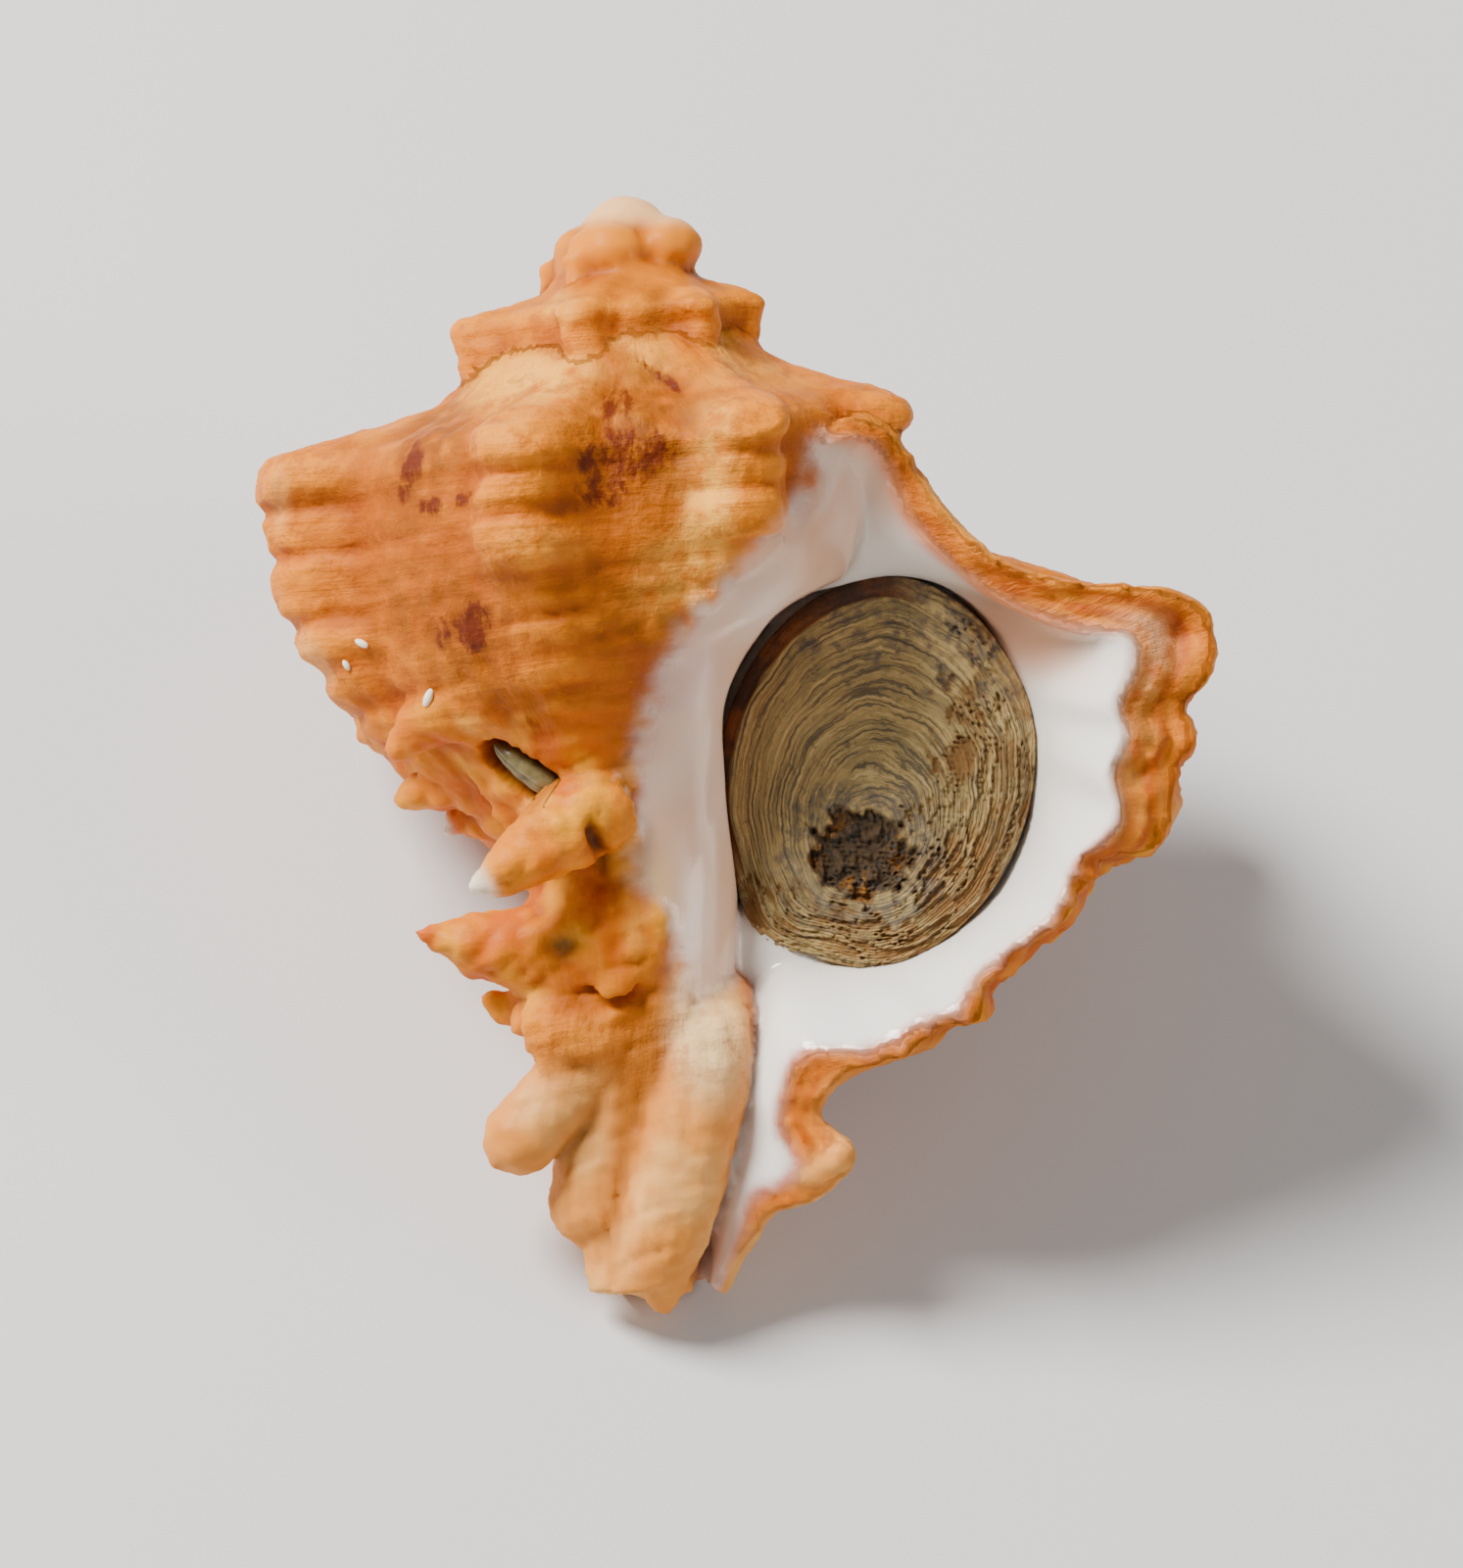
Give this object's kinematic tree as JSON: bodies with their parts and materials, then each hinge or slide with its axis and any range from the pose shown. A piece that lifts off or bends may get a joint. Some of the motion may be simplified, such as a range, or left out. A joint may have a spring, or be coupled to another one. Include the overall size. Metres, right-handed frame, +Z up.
{
  "type": "murex shell",
  "caption": "Orange murex seashell with knobbed ribs, a white porcelain mouth closed by a brown operculum and a short siphonal canal, lying on its back.",
  "frame": {"origin": "On the surface the shell rests on, under the middle of its box", "axes": "+Z up out of the mouth's side, +Y to the apex, +X to the outer lip. The shell lies on two knobs of its back and on the end of its canal, the mouth facing up and towards the canal."},
  "size_m": [0.0664, 0.0674, 0.0544],
  "materials": {
    "shell": "satin",
    "operculum": "matt",
    "mussel": "gloss"
  },
  "bodies": {
    "root": {"shell": "shell", "operculum": "operculum", "boring_mussel": "mussel"}
  },
  "joints": []
}
